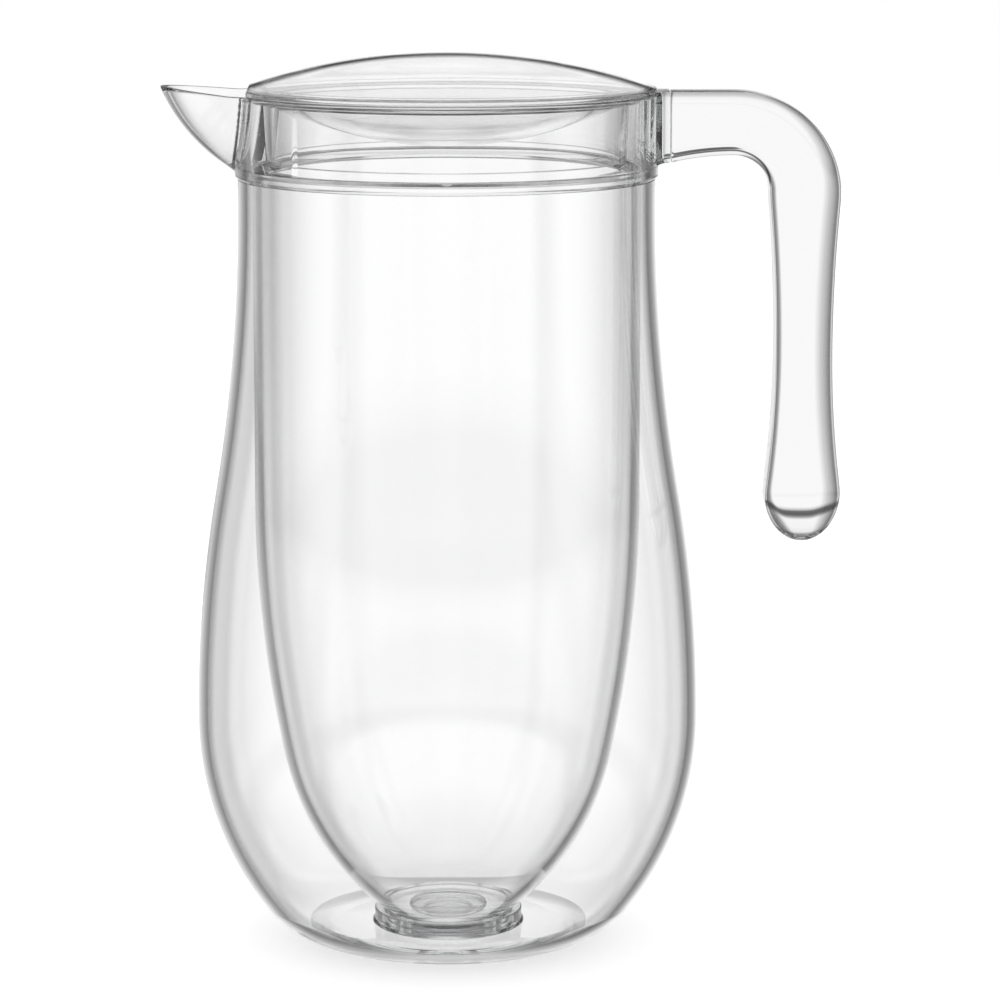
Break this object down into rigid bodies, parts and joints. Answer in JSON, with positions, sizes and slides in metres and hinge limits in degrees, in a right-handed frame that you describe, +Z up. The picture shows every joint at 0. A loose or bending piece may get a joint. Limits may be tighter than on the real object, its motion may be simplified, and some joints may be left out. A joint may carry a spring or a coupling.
{
  "type": "insulated jug",
  "caption": "Clear double-walled jug with a hung liner inside a rounded shell, a beak spout, a J-shaped handle and a lift-off domed lid whose skirt holds back ice, for cold drinks.",
  "frame": {"origin": "on the jug's round axis, at its flat resting face", "axes": "+Z up along the jug's axis, +X towards the handle, -X towards the spout"},
  "size_m": [0.1984, 0.1474, 0.262],
  "materials": {
    "clear_shell": "clear, blown, polished outside",
    "clear_liner": "clear, blown, polished",
    "base_fitting": "clear, moulded, polished",
    "clear_collar": "clear, moulded, polished",
    "clear_handle": "clear, solid, moulded, polished",
    "clear_lid": "clear, moulded, polished"
  },
  "bodies": {
    "jug": {"outer_shell": "clear_shell", "inner_liner": "clear_liner", "liner_seat": "base_fitting", "base_plug": "base_fitting", "collar": "clear_collar", "handle": "clear_handle"},
    "lid": {"lid_cover": "clear_lid", "lid_base": "clear_lid"}
  },
  "joints": [
    {"name": "lid_lift", "type": "slide", "parent": "jug", "child": "lid", "axis": [0, 0, 1], "range_m": [0, 0.12]}
  ]
}
